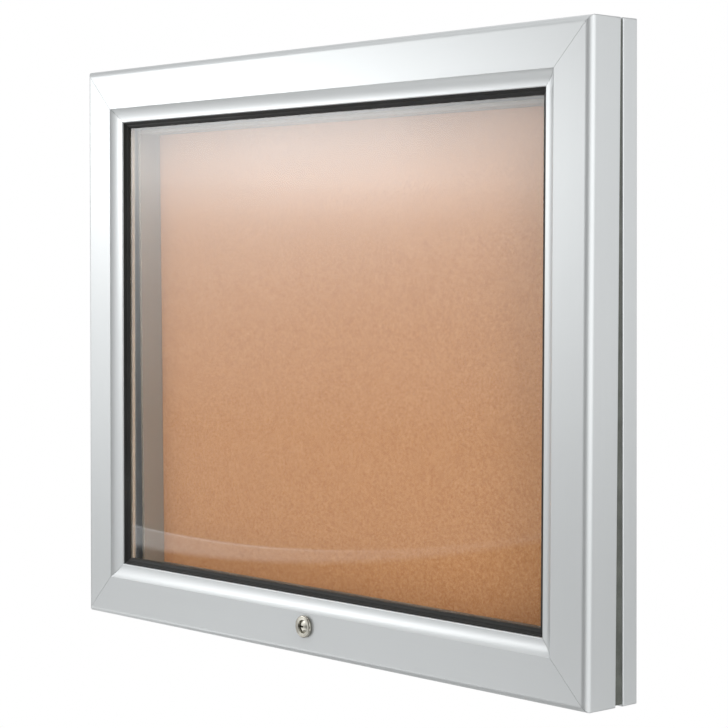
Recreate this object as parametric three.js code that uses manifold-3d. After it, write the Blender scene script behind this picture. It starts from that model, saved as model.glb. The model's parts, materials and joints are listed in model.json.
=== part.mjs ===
// Lockable notice board for a wall: a shallow aluminium case with a cork pin board,
// closed by a glazed aluminium door that is hinged along its top edge and locked at the bottom.
// Millimetres. X runs to the right seen from the front, Y from the front to the wall, Z up.
// The origin is the middle of the flat back, on the wall.
//
// Every profile is drawn across its length: first its depth behind the door's front face,
// then its inset from the board's outer edge. The four lengths of a frame share one profile.
import * as THREE from 'three';
import { mergeVertices } from 'three/addons/utils/BufferGeometryUtils.js';
import Module from 'manifold-3d';

const wasm = await Module();
wasm.setup();

// The whole board
const BOARD_WIDTH = 810;
const BOARD_HEIGHT = 650;
const DOOR_DEPTH = 42;
const CASE_DEPTH = 20.2;
const HINGE_GAP = 2.5;
const DOOR_AJAR_DEGREES = 0.665;

// Fits between pieces
const SEAT_GAP = 0.3;
const RUNNING_GAP = 0.1;
const MITRE_SEAM = 0.2;
const CUT_OVERRUN = 1;
const SAME_POINT = 0.01;

// How finely arcs and rounds are drawn
const DOOR_ARC_STEPS = 8;
const CASE_ARC_STEPS = 4;
const RIM_ARC_STEPS = 2;
const SEAL_ARC_STEPS = 4;
const CORNER_ARC_STEPS = 4;
const CAM_ARC_STEPS = 8;
const LOCK_SIDES = 40;
const BARREL_SIDES = 32;
const GROOVE_SIDES = 24;
const SCREW_SIDES = 20;
const HINGE_SIDES = 16;
const WALL_HOLE_SIDES = 16;
const NUT_SIDES = 6;
const STRAIGHT = 1;

// Door frame extrusion
const FACE_WIDTH = 46.4;
const FACE_ROUNDING = 7.4;
const CORNER_EASING = 2;
const COVE_WIDTH = 16.6;
const COVE_DEPTH = 6.5;
const COVE_LIP_ROUNDING = 1.3;
const DOOR_REAR_ROUNDING = 1.5;
const DOOR_WALL = 2;
const REBATE_WIDTH = 13;

// Glazing, its gasket and the beads behind it
const GASKET_WIDTH = 7;
const GASKET_DEPTH = 6.5;
const GASKET_EDGE = 0.7;
const GASKET_GROOVE = 0.6;
const GLASS_THICKNESS = 3;
const GLASS_EDGE_ROOM = 3;
const BEAD_DEPTH = 3.9;
const BEAD_LEG = 14;
const BEAD_WALL = 1.6;

// Case extrusion
const CASE_WALL = 2;
const CASE_BOX_WIDTH = 25;
const CASE_ROUNDING = 1.2;
const LEDGE_COVER = 12;
const LEDGE_STEP_ROOM = 1;
const WALL_HOLE_RADIUS = 3.5;
const WALL_HOLE_END_INSET = 105;

// Inner rim round the display space, which reaches further down than the glazing
const DISPLAY_DROP = 14;
const RIM_SET_IN = 6;
const RIM_WALL = 2;
const RIM_LIP_WIDTH = 4.3;
const RIM_LIP_THICKNESS = 1.5;
const RIM_LIP_ROUNDING = 0.5;
const RIM_FOOT_WIDTH = 5;
const RIM_BEAD_CLEARANCE = 2.3;

// Pin board and back panel
const CORK_THICKNESS = 3;
const CORE_THICKNESS = 6;
const BACK_PANEL_THICKNESS = 1.7;

// Corner cleats inside the hollow frames
const DOOR_CLEAT_ARM = 60;
const CASE_CLEAT_ARM = 50;
const CLEAT_THICKNESS = 8;
const CLEAT_SIDE_ROOM = 3;

// Seal strips between case and door
const SEAL_WIDTH = 9.2;
const SEAL_RECESS = 0.8;
const SEAL_BULGE = 0.5;
const SEAL_END_ROOM = 1.2;

// Continuous hinge
const HINGE_END_INSET = 35;
const HINGE_DROP = 1.75;
const HINGE_PIN_RADIUS = 1.2;
const KNUCKLE_WALL = 0.9;
const KNUCKLE_COUNT = 9;
const LEAF_THICKNESS = 0.8;
const LEAF_WIDTH = 13;
const HINGE_END_ROOM = 1;
const GROOVE_ROOM = 0.4;

// Cam lock
const LOCK_PLACE_SHARE = 0.618;
const LOCK_HEAD_RADIUS = 12.2;
const LOCK_HEAD_HEIGHT = 3.8;
const LOCK_HEAD_ROUNDING = 1.9;
const LOCK_ROUNDING_STEPS = 6;
const LOCK_FACE_DISH = 0.7;
const LOCK_BARREL_RADIUS = 9.2;
const LOCK_BARREL_FLAT = 8.3;
const LOCK_BARREL_LENGTH = 22;
const LOCK_PLUG_RADIUS = 7.2;
const LOCK_PLUG_DOME = 1.1;
const LOCK_DOME_STEPS = 5;
const LOCK_RETAINER = 1.5;
const LOCK_RETAINER_RIM = 0.7;
const KEY_SLOT_HEIGHT = 1.8;
const KEY_SLOT_LENGTH = 7.2;
const KEY_SLOT_DEPTH = 8;
const LOCK_NUT_THICKNESS = 4;
const LOCK_NUT_RIM = 2.6;
const LOCK_ACCESS_ROOM = 1.5;
const TAIL_WIDTH = 7;
const CAM_WIDTH = 12;
const CAM_LENGTH = 20;
const CAM_THICKNESS = 2;
const CAM_SCREW_RADIUS = 5.2;
const CAM_SCREW_HEAD = 1.8;
const CAM_SCREW_SHANK_RADIUS = 1.8;
const CAM_SCREW_DEPTH = 10;

// Keeper that the locked cam catches behind
const KEEPER_WIDTH = 36;
const KEEPER_THICKNESS = 2;
const KEEPER_LIP = 14;
const KEEPER_BASE = 17;
const KEEPER_CAM_CLEARANCE = 0.8;
const KEEPER_DOOR_CLEARANCE = 3;
const KEEPER_SCREW_RADIUS = 1.7;
const KEEPER_SCREW_HEAD_RADIUS = 3.4;
const KEEPER_SCREW_HEAD = 1.8;
const KEEPER_SCREW_SPREAD = 22;

// Depths and insets that follow from the sizes above
const TOTAL_DEPTH = DOOR_DEPTH + HINGE_GAP + CASE_DEPTH;
const CASE_FRONT = DOOR_DEPTH + HINGE_GAP;
const COVE_END = FACE_WIDTH + COVE_WIDTH;
const SIGHT_INSET = COVE_END + GASKET_WIDTH;
const GLASS_FRONT = COVE_DEPTH + GASKET_DEPTH;
const GLASS_REAR = GLASS_FRONT + GLASS_THICKNESS;
const REBATE_INSET = COVE_END - REBATE_WIDTH;
const BEAD_FRONT = GLASS_REAR + SEAT_GAP;
const BEAD_REAR = BEAD_FRONT + BEAD_DEPTH;
const RIM_INSET = SIGHT_INSET + RIM_SET_IN;
const RIM_FRONT = BEAD_REAR + RIM_BEAD_CLEARANCE;
const WEB_FRONT = TOTAL_DEPTH - CASE_WALL;
const LEDGE_REAR = TOTAL_DEPTH - BACK_PANEL_THICKNESS - SEAT_GAP;
const LEDGE_FRONT = LEDGE_REAR - CASE_WALL;
const FOOT_INSET = RIM_INSET - RIM_FOOT_WIDTH;
const STEP_INSET = FOOT_INSET - DISPLAY_DROP - LEDGE_STEP_ROOM;
const PANEL_INSET = STEP_INSET + CASE_WALL + SEAT_GAP;
const CORE_REAR = LEDGE_FRONT - SEAT_GAP;
const CORK_REAR = CORE_REAR - CORE_THICKNESS - SEAT_GAP;
const BOARD_INSET = RIM_INSET + SEAT_GAP;
const HINGE_LENGTH = BOARD_WIDTH - 2 * HINGE_END_INSET;
const HINGE_AXIS_DEPTH = DOOR_DEPTH + HINGE_GAP / 2;
const HINGE_AXIS_HEIGHT = BOARD_HEIGHT / 2 - HINGE_DROP;
const KNUCKLE_RADIUS = HINGE_PIN_RADIUS + RUNNING_GAP + KNUCKLE_WALL;
const DOOR_AJAR = THREE.MathUtils.degToRad(DOOR_AJAR_DEGREES);
const LOCK_INSET = FACE_ROUNDING + (FACE_WIDTH - FACE_ROUNDING) * LOCK_PLACE_SHARE;
const KEEPER_INSET = STEP_INSET - SEAT_GAP;
const KEEPER_SCREW_INSET = KEEPER_INSET - KEEPER_BASE / 2;
const KEEPER_FRONT = doorRearAt(KEEPER_INSET - BOARD_HEIGHT / 2) + KEEPER_DOOR_CLEARANCE;
const CAM_TIP_INSET = LOCK_INSET + CAM_LENGTH;
const CAM_TIP_DROP = HINGE_AXIS_HEIGHT + BOARD_HEIGHT / 2 - CAM_TIP_INSET;
const CAM_FRONT = KEEPER_FRONT + KEEPER_THICKNESS + KEEPER_CAM_CLEARANCE
  + CAM_TIP_DROP * Math.sin(DOOR_AJAR);

// Materials, with the colours that the board shows
function surface(name, color, roughness, metalness) {
  return new THREE.MeshStandardMaterial({ name, color, roughness, metalness });
}

const silverAluminium = () => surface('silver_aluminium', 0xc9cccd, 0.38, 0.9);
const caseAluminium = () => surface('case_aluminium', 0xc6cacb, 0.4, 0.9);
const rimAluminium = () => surface('rim_aluminium', 0xb9b6b1, 0.45, 0.85);
const beadAluminium = () => surface('bead_aluminium', 0xbeb9b2, 0.45, 0.8);
const castCleat = () => surface('cast_cleat', 0x9fa2a3, 0.6, 0.8);
const blackRubber = () => surface('black_rubber', 0x242422, 0.62, 0);
const blackFoam = () => surface('black_foam', 0x343631, 0.85, 0);
const cork = () => surface('cork', 0xc79a74, 0.9, 0);
const softBoard = () => surface('soft_board', 0x9a7f62, 0.9, 0);
const galvanisedSheet = () => surface('galvanised_sheet', 0xa9adad, 0.5, 0.85);
const stainlessSteel = () => surface('stainless_steel', 0xb4b5b4, 0.35, 0.95);
const chrome = () => surface('chrome', 0xd9d9d4, 0.12, 1);

function clearAcrylic() {
  const material = surface('clear_acrylic', 0xf2f5f5, 0.04, 0);
  material.transparent = true;
  material.opacity = 0.16;
  return material;
}

// Turns a closed geometry into a solid that can be joined and cut
function toSolid(geometry) {
  const bare = geometry.clone();
  bare.deleteAttribute('normal');
  bare.deleteAttribute('uv');
  const merged = mergeVertices(bare);
  const vertProperties = new Float32Array(merged.attributes.position.array);
  const triVerts = new Uint32Array(merged.index.array);
  return new wasm.Manifold(new wasm.Mesh({ numProp: 3, vertProperties, triVerts }));
}

function toGeometry(solid) {
  const { vertProperties, triVerts } = solid.getMesh();
  const geometry = new THREE.BufferGeometry();
  geometry.setAttribute('position', new THREE.BufferAttribute(vertProperties, 3));
  geometry.setIndex(new THREE.BufferAttribute(triVerts, 1));
  geometry.computeVertexNormals();
  return geometry;
}

function cut(geometry, ...tools) {
  let solid = toSolid(geometry);
  for (const tool of tools) solid = solid.subtract(toSolid(tool));
  return toGeometry(solid);
}

function join(geometry, ...others) {
  let solid = toSolid(geometry);
  for (const other of others) solid = solid.add(toSolid(other));
  return toGeometry(solid);
}

function keepWithin(geometry, room) {
  return toGeometry(toSolid(geometry).intersect(toSolid(room)));
}

function meshOf(name, geometry, material) {
  const mesh = new THREE.Mesh(geometry, material);
  mesh.name = name;
  return mesh;
}

// A block given by its middle in X, and by its depth and inset ranges
function block(width, depthFrom, depthTo, insetFrom, insetTo) {
  const depth = depthTo - depthFrom;
  const height = insetTo - insetFrom;
  const geometry = new THREE.BoxGeometry(width, depth, height);
  return geometry.translate(0, depthFrom + depth / 2, insetFrom + height / 2);
}

// A round bar or hole that runs from the front to the back
function drill(x, inset, radius, depthFrom, depthTo, sides) {
  const geometry = new THREE.CylinderGeometry(radius, radius, depthTo - depthFrom, sides);
  return geometry.translate(x, (depthFrom + depthTo) / 2, inset);
}

// A round bar or hole that runs along X
function rodAlong(length, radius, depth, inset, sides) {
  const geometry = new THREE.CylinderGeometry(radius, radius, length, sides);
  return geometry.rotateZ(Math.PI / 2).translate(0, depth, inset);
}

// A closed shape from pairs of depth and inset
function outline(...pairs) {
  const shape = new THREE.Shape();
  shape.moveTo(pairs[0][0], pairs[0][1]);
  for (const [depth, inset] of pairs.slice(1)) shape.lineTo(depth, inset);
  shape.closePath();
  return shape;
}

// The same shape with its arcs as points, counter-clockwise and without points on each other
function pointedShape(shape, arcSteps) {
  const { shape: edge, holes } = shape.extractPoints(arcSteps);
  if (THREE.ShapeUtils.isClockWise(edge)) edge.reverse();
  const tidy = (points) => points.filter((point, i) => (
    point.distanceTo(points[(i + 1) % points.length]) > SAME_POINT
  ));
  const pointed = new THREE.Shape(tidy(edge));
  pointed.holes = holes.map((hole) => new THREE.Path(tidy(hole)));
  return pointed;
}

function extrude(shape, depth, arcSteps) {
  return new THREE.ExtrudeGeometry(pointedShape(shape, arcSteps), { depth, bevelEnabled: false });
}

// A shape drawn across and up, extruded from the front to the back
function extrudeBack(shape, depthFrom, depthTo, arcSteps) {
  const geometry = extrude(shape, depthTo - depthFrom, arcSteps);
  return geometry.rotateX(Math.PI / 2).translate(0, depthTo, 0);
}

// Extrudes a profile along X and stretches each point of it to its own length
function extrudeProfile(shape, arcSteps, halfLengthAt) {
  const geometry = extrude(shape, 1, arcSteps);
  const position = geometry.attributes.position;
  for (let i = 0; i < position.count; i += 1) {
    const depth = position.getX(i);
    const inset = position.getY(i);
    const end = position.getZ(i) > 0 ? 1 : -1;
    position.setXYZ(i, end * halfLengthAt(inset), depth, inset);
  }
  geometry.computeVertexNormals();
  return geometry;
}

// One length of a frame, its two ends mitred at 45 degrees
function mitredLength(shape, sideLength, arcSteps) {
  return extrudeProfile(shape, arcSteps, (inset) => sideLength / 2 - inset - MITRE_SEAM);
}

// The room along one side of the board, with the board's outer corners eased
function easedRoom(sideLength) {
  const half = sideLength / 2;
  const ease = CORNER_EASING;
  const shape = new THREE.Shape();
  shape.moveTo(-half, half);
  shape.lineTo(-half, ease);
  shape.absarc(ease - half, ease, ease, -Math.PI, -Math.PI / 2, false);
  shape.absarc(half - ease, ease, ease, -Math.PI / 2, 0, false);
  shape.lineTo(half, half);
  shape.closePath();
  return extrudeBack(shape, -CUT_OVERRUN, TOTAL_DEPTH + CUT_OVERRUN, CORNER_ARC_STEPS);
}

// The four places of a frame's lengths: each one turns the inset towards the middle
function frameSides(width, height, middle) {
  return {
    top: { turn: Math.PI, x: 0, z: middle + height / 2, length: width },
    bottom: { turn: 0, x: 0, z: middle - height / 2, length: width },
    left: { turn: Math.PI / 2, x: -width / 2, z: middle, length: height },
    right: { turn: -Math.PI / 2, x: width / 2, z: middle, length: height },
  };
}

const SIDES = frameSides(BOARD_WIDTH, BOARD_HEIGHT, 0);
const DISPLAY_SIDES = frameSides(BOARD_WIDTH, BOARD_HEIGHT + DISPLAY_DROP, -DISPLAY_DROP / 2);

function placeOnSide(mesh, side) {
  mesh.position.set(side.x, 0, side.z);
  mesh.rotation.y = side.turn;
  return mesh;
}

function addFrame(group, names, shape, arcSteps, material, sides = SIDES) {
  for (const [key, side] of Object.entries(sides)) {
    const geometry = mitredLength(shape, side.length, arcSteps);
    group.add(placeOnSide(meshOf(names[key], geometry, material()), side));
  }
}

// A frame that ends at the board's outline, with holes and grooves cut into some of its lengths
function addOuterFrame(group, names, shape, arcSteps, material, cutters) {
  for (const [key, side] of Object.entries(SIDES)) {
    const mitred = mitredLength(shape, side.length, arcSteps);
    const eased = keepWithin(mitred, easedRoom(side.length));
    const geometry = cutters[key] ? cut(eased, ...cutters[key]) : eased;
    group.add(placeOnSide(meshOf(names[key], geometry, material()), side));
  }
}

function namesFor(rail, stile) {
  return {
    top: `${rail}_top`,
    bottom: `${rail}_bottom`,
    left: `${stile}_left`,
    right: `${stile}_right`,
  };
}

// Door frame: flat face, rounded outer edge, concave cove down to the gasket, hollow box
function doorProfile() {
  const coveRadius = (COVE_WIDTH ** 2 + COVE_DEPTH ** 2) / (2 * COVE_DEPTH);
  const coveAngle = Math.asin(COVE_WIDTH / coveRadius);
  const lipAngle = Math.asin(COVE_LIP_ROUNDING / coveRadius);
  const rebateDepth = GLASS_FRONT - SEAT_GAP;
  const shape = new THREE.Shape();
  shape.moveTo(DOOR_DEPTH - DOOR_REAR_ROUNDING, 0);
  shape.absarc(FACE_ROUNDING, FACE_ROUNDING, FACE_ROUNDING, -Math.PI / 2, -Math.PI, true);
  shape.lineTo(0, FACE_WIDTH);
  shape.absarc(COVE_DEPTH - coveRadius, COVE_END, coveRadius, -coveAngle, -lipAngle, false);
  shape.absarc(
    COVE_DEPTH + COVE_LIP_ROUNDING,
    COVE_END - COVE_LIP_ROUNDING,
    COVE_LIP_ROUNDING,
    Math.PI,
    Math.PI / 2,
    true,
  );
  shape.lineTo(rebateDepth, COVE_END);
  shape.lineTo(rebateDepth, REBATE_INSET);
  shape.lineTo(DOOR_DEPTH, REBATE_INSET);
  shape.lineTo(DOOR_DEPTH, DOOR_REAR_ROUNDING);
  shape.absarc(
    DOOR_DEPTH - DOOR_REAR_ROUNDING,
    DOOR_REAR_ROUNDING,
    DOOR_REAR_ROUNDING,
    0,
    -Math.PI / 2,
    true,
  );
  shape.holes.push(
    outline(
      [FACE_ROUNDING, DOOR_WALL],
      [DOOR_WALL, FACE_ROUNDING],
      [DOOR_WALL, FACE_WIDTH - DOOR_WALL],
      [COVE_DEPTH, REBATE_INSET - DOOR_WALL],
      [DOOR_DEPTH - DOOR_WALL, REBATE_INSET - DOOR_WALL],
      [DOOR_DEPTH - DOOR_WALL, DOOR_WALL],
    ),
  );
  return shape;
}

// Case frame: shallow hollow box at the outside, a web along the wall, and a ledge that
// steps forward to carry the pin board in front of it and the back panel behind it
function caseProfile() {
  const shape = new THREE.Shape();
  const round = CASE_ROUNDING;
  shape.moveTo(WEB_FRONT, CASE_BOX_WIDTH);
  shape.lineTo(CASE_FRONT, CASE_BOX_WIDTH);
  shape.absarc(CASE_FRONT + round, round, round, -Math.PI, -Math.PI / 2, false);
  shape.absarc(TOTAL_DEPTH - round, round, round, -Math.PI / 2, 0, false);
  shape.lineTo(TOTAL_DEPTH, STEP_INSET + CASE_WALL);
  shape.lineTo(LEDGE_REAR, STEP_INSET + CASE_WALL);
  shape.lineTo(LEDGE_REAR, RIM_INSET + LEDGE_COVER);
  shape.lineTo(LEDGE_FRONT, RIM_INSET + LEDGE_COVER);
  shape.lineTo(LEDGE_FRONT, STEP_INSET);
  shape.lineTo(WEB_FRONT, STEP_INSET);
  shape.closePath();
  shape.holes.push(
    outline(
      [CASE_FRONT + CASE_WALL, CASE_WALL],
      [CASE_FRONT + CASE_WALL, CASE_BOX_WIDTH - CASE_WALL],
      [WEB_FRONT, CASE_BOX_WIDTH - CASE_WALL],
      [WEB_FRONT, CASE_WALL],
    ),
  );
  return shape;
}

// Inner rim: a foot on the ledge, a wall round the display space and a turned front lip
function rimProfile() {
  const footRear = LEDGE_FRONT - SEAT_GAP;
  const footFront = footRear - RIM_WALL;
  const wallInset = RIM_INSET - RIM_WALL;
  const lipInset = RIM_INSET - RIM_LIP_WIDTH;
  const edge = RIM_LIP_ROUNDING;
  const shape = new THREE.Shape();
  shape.moveTo(footRear, RIM_INSET);
  shape.lineTo(footRear, FOOT_INSET);
  shape.lineTo(footFront, FOOT_INSET);
  shape.lineTo(footFront, wallInset);
  shape.lineTo(RIM_FRONT + RIM_LIP_THICKNESS, wallInset);
  shape.lineTo(RIM_FRONT + RIM_LIP_THICKNESS, lipInset);
  shape.absarc(RIM_FRONT + edge, lipInset + edge, edge, -Math.PI / 2, -Math.PI, true);
  shape.absarc(RIM_FRONT + edge, RIM_INSET - edge, edge, Math.PI, Math.PI / 2, true);
  shape.closePath();
  return shape;
}

// Rubber gasket: a wedge from behind the cove's round lip to the glazing, with a shallow groove
function gasketProfile() {
  const seat = COVE_END + SEAT_GAP;
  const front = COVE_DEPTH + COVE_LIP_ROUNDING;
  const rear = GLASS_FRONT - SEAT_GAP;
  const middleDepth = (front + rear) / 2;
  const middleInset = (seat + SIGHT_INSET) / 2;
  return outline(
    [front, seat],
    [front, seat + GASKET_EDGE],
    [middleDepth - GASKET_GROOVE, middleInset - GASKET_GROOVE],
    [middleDepth, middleInset - GASKET_GROOVE],
    [middleDepth, middleInset + GASKET_GROOVE],
    [rear - GASKET_EDGE, SIGHT_INSET],
    [rear, SIGHT_INSET],
    [rear, seat],
  );
}

// Glazing bead: holds the glazing from behind and clips along the door's inner wall
function beadProfile() {
  const legInset = REBATE_INSET + SEAT_GAP;
  return outline(
    [BEAD_FRONT, legInset],
    [BEAD_FRONT, SIGHT_INSET],
    [BEAD_REAR, SIGHT_INSET],
    [BEAD_REAR, SIGHT_INSET - BEAD_WALL],
    [BEAD_FRONT + BEAD_WALL, SIGHT_INSET - BEAD_WALL],
    [BEAD_FRONT + BEAD_WALL, legInset + BEAD_WALL],
    [BEAD_FRONT + BEAD_LEG, legInset + BEAD_WALL],
    [BEAD_FRONT + BEAD_LEG, legInset],
  );
}

// Corner cleat: an angle that lies in the hollow of the two lengths it joins
function cleatGeometry(arm, wall, depthFrom, depthTo) {
  const near = wall + SEAT_GAP;
  const far = near + CLEAT_THICKNESS;
  const shape = new THREE.Shape();
  shape.moveTo(near, near);
  shape.lineTo(near + arm, near);
  shape.lineTo(near + arm, far);
  shape.lineTo(far, far);
  shape.lineTo(far, near + arm);
  shape.lineTo(near, near + arm);
  shape.closePath();
  return extrudeBack(shape, depthFrom, depthTo, STRAIGHT);
}

function addCleats(group, prefix, arm, wall, depthFrom, depthTo) {
  const halfWidth = BOARD_WIDTH / 2;
  const halfHeight = BOARD_HEIGHT / 2;
  const corners = {
    bottom_left: { x: -halfWidth, z: -halfHeight, turn: 0 },
    bottom_right: { x: halfWidth, z: -halfHeight, turn: -Math.PI / 2 },
    top_right: { x: halfWidth, z: halfHeight, turn: Math.PI },
    top_left: { x: -halfWidth, z: halfHeight, turn: Math.PI / 2 },
  };
  for (const [key, corner] of Object.entries(corners)) {
    const geometry = cleatGeometry(arm, wall, depthFrom, depthTo);
    const mesh = meshOf(`${prefix}_${key}`, geometry, castCleat());
    mesh.position.set(corner.x, 0, corner.z);
    mesh.rotation.y = corner.turn;
    group.add(mesh);
  }
}

// A flat sheet inside a frame, its four edges set in from the frame's sides
function sheet(sides, inset, depthFrom, depthTo) {
  const width = sides.top.length - 2 * inset;
  const height = sides.left.length - 2 * inset;
  const geometry = new THREE.BoxGeometry(width, depthTo - depthFrom, height);
  return geometry.translate(0, (depthFrom + depthTo) / 2, sides.left.z);
}

// Depth of the ajar door's rear face at a height
function doorRearAt(height) {
  const below = HINGE_AXIS_HEIGHT - height;
  const reach = HINGE_GAP / 2 / Math.cos(DOOR_AJAR);
  return HINGE_AXIS_DEPTH - reach - below * Math.tan(DOOR_AJAR);
}

// Foam seal along a side: squeezed between the case and the ajar door, so it thickens downwards.
// The one for the right side is drawn upside down and then turned round.
function sideSealGeometry(upsideDown) {
  const halfLength = BOARD_HEIGHT / 2 - CASE_ROUNDING - SEAL_END_ROOM;
  const rear = CASE_FRONT - SEAT_GAP;
  const shape = sealSection(SEAL_RECESS, SEAL_WIDTH);
  const geometry = extrude(shape, 1, SEAL_ARC_STEPS);
  const position = geometry.attributes.position;
  for (let i = 0; i < position.count; i += 1) {
    const drawn = (position.getZ(i) > 0 ? -1 : 1) * halfLength;
    const front = doorRearAt(upsideDown ? -drawn : drawn) + SEAT_GAP;
    const depth = front + (rear - front) * position.getX(i);
    position.setXYZ(i, position.getY(i), depth, drawn);
  }
  geometry.computeVertexNormals();
  return geometry;
}

// Section of a seal: 0 is the side against the door and 1 the side against the case
function sealSection(recess, width) {
  const shape = new THREE.Shape();
  shape.moveTo(1, recess + SEAL_BULGE);
  shape.quadraticCurveTo(1 / 2, recess - SEAL_BULGE, 0, recess + SEAL_BULGE);
  shape.lineTo(0, recess + width);
  shape.lineTo(1, recess + width);
  shape.closePath();
  return shape;
}

// Foam seal along the top or the bottom: one thickness, fitted between the two side seals
function crossSealGeometry(recess, width, height) {
  const halfLength = BOARD_WIDTH / 2 - SEAL_RECESS - SEAL_WIDTH - SEAT_GAP;
  const rear = CASE_FRONT - SEAT_GAP;
  const front = doorRearAt(height) + SEAT_GAP;
  const geometry = extrudeProfile(sealSection(recess, width), SEAL_ARC_STEPS, () => halfLength);
  return geometry.scale(1, rear - front, 1).translate(0, front, 0);
}

function addSeals(group) {
  const left = meshOf('seal_left', sideSealGeometry(false), blackFoam());
  left.position.x = -BOARD_WIDTH / 2;
  const right = meshOf('seal_right', sideSealGeometry(true), blackFoam());
  right.position.x = BOARD_WIDTH / 2;
  right.rotation.y = Math.PI;
  const topRecess = HINGE_DROP + LEAF_WIDTH + SEAL_END_ROOM;
  const topWidth = CASE_BOX_WIDTH - topRecess - SEAL_RECESS;
  const topEdge = BOARD_HEIGHT / 2 - topRecess;
  const top = meshOf('seal_top', crossSealGeometry(topRecess, topWidth, topEdge), blackFoam());
  const bottomEdge = SEAL_RECESS + SEAL_WIDTH - BOARD_HEIGHT / 2;
  const bottomGeometry = crossSealGeometry(SEAL_RECESS, SEAL_WIDTH, bottomEdge);
  const bottom = meshOf('seal_bottom', bottomGeometry, blackFoam());
  group.add(left, right, placeOnSide(top, SIDES.top), placeOnSide(bottom, SIDES.bottom));
}

// One leaf of the continuous hinge: a strip with every second knuckle, bored for the pin
function hingeLeafGeometry(depthFrom, firstKnuckle) {
  const depthTo = depthFrom + LEAF_THICKNESS;
  const pitch = HINGE_LENGTH / KNUCKLE_COUNT;
  const stripFrom = HINGE_DROP + KNUCKLE_RADIUS + SEAT_GAP;
  const strip = block(HINGE_LENGTH, depthFrom, depthTo, stripFrom, HINGE_DROP + LEAF_WIDTH);
  const knuckles = [];
  for (let i = firstKnuckle; i < KNUCKLE_COUNT; i += 2) {
    const middle = (i + 1 / 2) * pitch - HINGE_LENGTH / 2;
    const length = pitch - SEAT_GAP;
    const barrel = rodAlong(length, KNUCKLE_RADIUS, HINGE_AXIS_DEPTH, HINGE_DROP, HINGE_SIDES);
    const neck = block(length, depthFrom, depthTo, HINGE_DROP, stripFrom + LEAF_THICKNESS);
    knuckles.push(barrel.translate(middle, 0, 0), neck.translate(middle, 0, 0));
  }
  const boreRadius = HINGE_PIN_RADIUS + RUNNING_GAP;
  const boreLength = HINGE_LENGTH + CUT_OVERRUN;
  const bore = rodAlong(boreLength, boreRadius, HINGE_AXIS_DEPTH, HINGE_DROP, HINGE_SIDES);
  return cut(join(strip, ...knuckles), bore);
}

// Groove along a top rail that leaves room for the hinge's knuckles
function hingeGroove() {
  const length = HINGE_LENGTH + 2 * HINGE_END_ROOM;
  const radius = KNUCKLE_RADIUS + GROOVE_ROOM;
  return rodAlong(length, radius, HINGE_AXIS_DEPTH, HINGE_DROP, GROOVE_SIDES);
}

// A round body from pairs of radius and depth, about an axis from the front to the back.
// The lock's pieces are drawn this way, with the lock's axis in the origin.
function lathe(points, sides) {
  return new THREE.LatheGeometry(
    points.map(([radius, depth]) => new THREE.Vector2(radius, depth)),
    sides,
  );
}

// The lock's barrel or the hole for it: round with two flat sides that keep it from turning
function barrelGeometry(room, depthFrom, depthTo) {
  const radius = LOCK_BARREL_RADIUS + room;
  const flat = LOCK_BARREL_FLAT + room;
  const round = drill(0, 0, radius, depthFrom, depthTo, BARREL_SIDES);
  const reach = 2 * LOCK_BARREL_RADIUS;
  const between = block(2 * flat, depthFrom - CUT_OVERRUN, depthTo + CUT_OVERRUN, -reach, reach);
  return keepWithin(round, between);
}

function lockBodyGeometry() {
  const rounding = LOCK_HEAD_ROUNDING;
  const bore = LOCK_PLUG_RADIUS + RUNNING_GAP;
  const points = [[bore, LOCK_FACE_DISH - LOCK_HEAD_HEIGHT]];
  for (let step = 0; step <= LOCK_ROUNDING_STEPS; step += 1) {
    const angle = (step / LOCK_ROUNDING_STEPS) * (Math.PI / 2);
    const radius = LOCK_HEAD_RADIUS - rounding * (1 - Math.sin(angle));
    points.push([radius, rounding * (1 - Math.cos(angle)) - LOCK_HEAD_HEIGHT]);
  }
  points.push([LOCK_HEAD_RADIUS, -SEAT_GAP], [bore, -SEAT_GAP], points[0]);
  const barrelFrom = -SEAT_GAP - LOCK_FACE_DISH;
  const barrel = barrelGeometry(0, barrelFrom, LOCK_BARREL_LENGTH);
  const holeTo = LOCK_BARREL_LENGTH + CUT_OVERRUN;
  const hole = drill(0, 0, bore, barrelFrom - CUT_OVERRUN, holeTo, LOCK_SIDES);
  return join(lathe(points, LOCK_SIDES), cut(barrel, hole));
}

// Plug: a gently domed face with the key slot, a collar behind the barrel and a square tail
function lockPlugGeometry() {
  const front = LOCK_FACE_DISH - LOCK_HEAD_HEIGHT;
  const collar = LOCK_BARREL_LENGTH + SEAT_GAP;
  const rear = collar + LOCK_RETAINER;
  const points = [];
  for (let step = 0; step <= LOCK_DOME_STEPS; step += 1) {
    const share = step / LOCK_DOME_STEPS;
    points.push([LOCK_PLUG_RADIUS * share, front + LOCK_PLUG_DOME * share ** 2]);
  }
  points.push(
    [LOCK_PLUG_RADIUS, collar],
    [LOCK_PLUG_RADIUS + LOCK_RETAINER_RIM, collar],
    [LOCK_PLUG_RADIUS + LOCK_RETAINER_RIM, rear],
    [0, rear],
  );
  const round = lathe(points, LOCK_SIDES);
  const halfTail = TAIL_WIDTH / 2;
  const tailFrom = rear - LOCK_RETAINER / 2;
  const tailRear = CAM_FRONT + CAM_THICKNESS;
  const tail = block(TAIL_WIDTH, tailFrom, tailRear, -halfTail, halfTail);
  const slotDepth = front + KEY_SLOT_DEPTH;
  const halfSlot = KEY_SLOT_HEIGHT / 2;
  const slot = block(KEY_SLOT_LENGTH, front - CUT_OVERRUN, slotDepth, -halfSlot, halfSlot);
  slot.translate(halfSlot - KEY_SLOT_LENGTH / 2, 0, 0);
  const screwRadius = CAM_SCREW_SHANK_RADIUS + RUNNING_GAP;
  const screwFrom = tailRear - CAM_SCREW_DEPTH;
  const screwHole = drill(0, 0, screwRadius, screwFrom, tailRear + CUT_OVERRUN, SCREW_SIDES);
  return cut(join(round, tail), slot, screwHole);
}

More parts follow.
